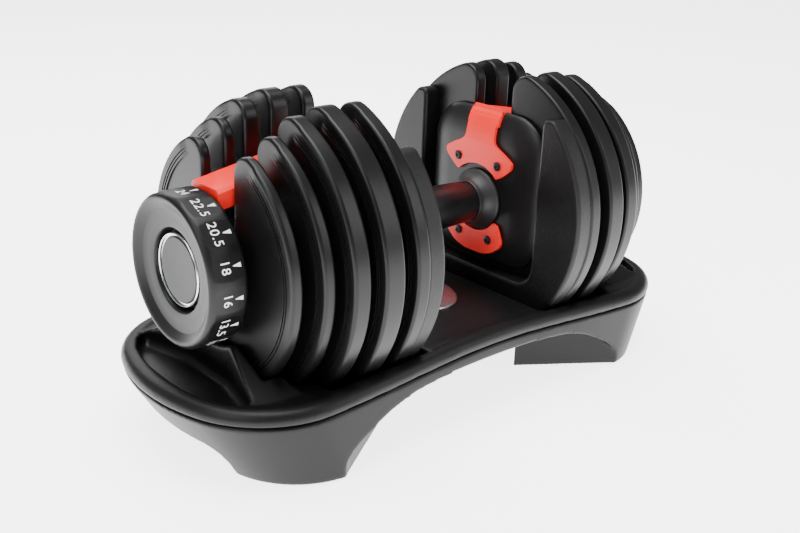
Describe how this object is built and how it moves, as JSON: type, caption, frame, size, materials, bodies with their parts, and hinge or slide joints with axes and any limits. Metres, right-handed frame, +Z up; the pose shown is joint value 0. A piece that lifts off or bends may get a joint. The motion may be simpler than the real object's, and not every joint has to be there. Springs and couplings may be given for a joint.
{
  "type": "adjustable dumbbell",
  "caption": "Adjustable selector dumbbell with nested black plates, a turning dial at each end, red bridges and a moulded tray.",
  "frame": {"origin": "on the floor, under the middle of the tray", "axes": "+X along the handle to the right-hand dial, +Y across the tray, +Z up"},
  "size_m": [0.441, 0.2068, 0.2228],
  "materials": {
    "tray_plastic": "satin black moulded plastic, finely grained",
    "plate_black": "satin black moulded skin over steel",
    "dial_black": "satin black plastic",
    "red_plastic": "semi-gloss red moulded plastic",
    "label_white": "white printed marks",
    "silver_trim": "brushed silver trim",
    "steel": "plated steel",
    "screw_black": "black oxide steel",
    "rubber": "moulded black rubber"
  },
  "bodies": {
    "base": {"tray_top": "tray_plastic", "base_skirt": "tray_plastic", "left_near_rubber_foot": "rubber", "left_near_base_screw": "steel", "left_far_rubber_foot": "rubber", "left_far_base_screw": "steel", "left_unlock_post": "steel", "right_near_rubber_foot": "rubber", "right_near_base_screw": "steel", "right_far_rubber_foot": "rubber", "right_far_base_screw": "steel", "right_unlock_post": "steel", "badge": "silver_trim"},
    "handle": {"handle_shaft": "steel", "grip": "rubber", "left_collar": "rubber", "left_inner_guard": "dial_black", "left_bridge": "red_plastic", "left_lower_bracket": "red_plastic", "left_upper_screw_near": "screw_black", "left_upper_screw_far": "screw_black", "left_lower_screw_near": "screw_black", "left_lower_screw_far": "screw_black", "right_collar": "rubber", "right_inner_guard": "dial_black", "right_bridge": "red_plastic", "right_lower_bracket": "red_plastic", "right_upper_screw_near": "screw_black", "right_upper_screw_far": "screw_black", "right_lower_screw_near": "screw_black", "right_lower_screw_far": "screw_black"},
    "left_selector": {"left_dial": "dial_black", "left_dial_ring": "silver_trim", "left_dial_cap": "dial_black", "left_selector_disc_1": "plate_black", "left_selector_disc_2": "plate_black", "left_selector_disc_3": "plate_black", "left_selector_disc_4": "plate_black", "left_selector_disc_5": "plate_black"},
    "left_lock_pin": {"left_lock_pin": "steel"},
    "left_plate_1": {"left_plate_1": "plate_black"},
    "left_plate_2": {"left_plate_2": "plate_black"},
    "left_plate_3": {"left_plate_3": "plate_black"},
    "left_plate_4": {"left_plate_4": "plate_black"},
    "left_plate_5": {"left_plate_5": "plate_black"},
    "right_selector": {"right_dial": "dial_black", "right_dial_ring": "silver_trim", "right_dial_cap": "dial_black", "right_selector_disc_1": "plate_black", "right_selector_disc_2": "plate_black", "right_selector_disc_3": "plate_black", "right_selector_disc_4": "plate_black", "right_selector_disc_5": "plate_black"},
    "right_lock_pin": {"right_lock_pin": "steel"},
    "right_plate_1": {"right_plate_1": "plate_black"},
    "right_plate_2": {"right_plate_2": "plate_black"},
    "right_plate_3": {"right_plate_3": "plate_black"},
    "right_plate_4": {"right_plate_4": "plate_black"},
    "right_plate_5": {"right_plate_5": "plate_black"}
  },
  "joints": [
    {"name": "handle_lift", "type": "slide", "parent": "base", "child": "handle", "axis": [0, 0, 1], "range_m": [0, 0.2]},
    {"name": "left_dial_turn", "type": "hinge", "parent": "handle", "child": "left_selector", "pos_m": [-0.1746, 0, 0.1247], "axis": [-1, 0, 0], "continuous": true},
    {"name": "left_lock_pin_drop", "type": "slide", "parent": "handle", "child": "left_lock_pin", "axis": [0, 0, 1], "range_m": [-0.004, 0]},
    {"name": "left_plate_1_lift", "type": "slide", "parent": "base", "child": "left_plate_1", "axis": [0, 0, 1], "range_m": [0, 0.2]},
    {"name": "left_plate_2_lift", "type": "slide", "parent": "base", "child": "left_plate_2", "axis": [0, 0, 1], "range_m": [0, 0.2]},
    {"name": "left_plate_3_lift", "type": "slide", "parent": "base", "child": "left_plate_3", "axis": [0, 0, 1], "range_m": [0, 0.2]},
    {"name": "left_plate_4_lift", "type": "slide", "parent": "base", "child": "left_plate_4", "axis": [0, 0, 1], "range_m": [0, 0.2]},
    {"name": "left_plate_5_lift", "type": "slide", "parent": "base", "child": "left_plate_5", "axis": [0, 0, 1], "range_m": [0, 0.2]},
    {"name": "right_dial_turn", "type": "hinge", "parent": "handle", "child": "right_selector", "pos_m": [0.1746, 0, 0.1247], "axis": [1, 0, 0], "continuous": true},
    {"name": "right_lock_pin_drop", "type": "slide", "parent": "handle", "child": "right_lock_pin", "axis": [0, 0, 1], "range_m": [-0.004, 0]},
    {"name": "right_plate_1_lift", "type": "slide", "parent": "base", "child": "right_plate_1", "axis": [0, 0, 1], "range_m": [0, 0.2]},
    {"name": "right_plate_2_lift", "type": "slide", "parent": "base", "child": "right_plate_2", "axis": [0, 0, 1], "range_m": [0, 0.2]},
    {"name": "right_plate_3_lift", "type": "slide", "parent": "base", "child": "right_plate_3", "axis": [0, 0, 1], "range_m": [0, 0.2]},
    {"name": "right_plate_4_lift", "type": "slide", "parent": "base", "child": "right_plate_4", "axis": [0, 0, 1], "range_m": [0, 0.2]},
    {"name": "right_plate_5_lift", "type": "slide", "parent": "base", "child": "right_plate_5", "axis": [0, 0, 1], "range_m": [0, 0.2]}
  ],
  "couplings": [
    {"joint": "left_lock_pin_drop", "follows": "handle_lift", "ratio": -0.02},
    {"joint": "left_plate_1_lift", "follows": "handle_lift", "ratio": 1},
    {"joint": "left_plate_2_lift", "follows": "handle_lift", "ratio": 1},
    {"joint": "left_plate_3_lift", "follows": "handle_lift", "ratio": 1},
    {"joint": "left_plate_4_lift", "follows": "handle_lift", "ratio": 1},
    {"joint": "left_plate_5_lift", "follows": "handle_lift", "ratio": 1},
    {"joint": "right_lock_pin_drop", "follows": "handle_lift", "ratio": -0.02},
    {"joint": "right_plate_1_lift", "follows": "handle_lift", "ratio": 1},
    {"joint": "right_plate_2_lift", "follows": "handle_lift", "ratio": 1},
    {"joint": "right_plate_3_lift", "follows": "handle_lift", "ratio": 1},
    {"joint": "right_plate_4_lift", "follows": "handle_lift", "ratio": 1},
    {"joint": "right_plate_5_lift", "follows": "handle_lift", "ratio": 1}
  ]
}
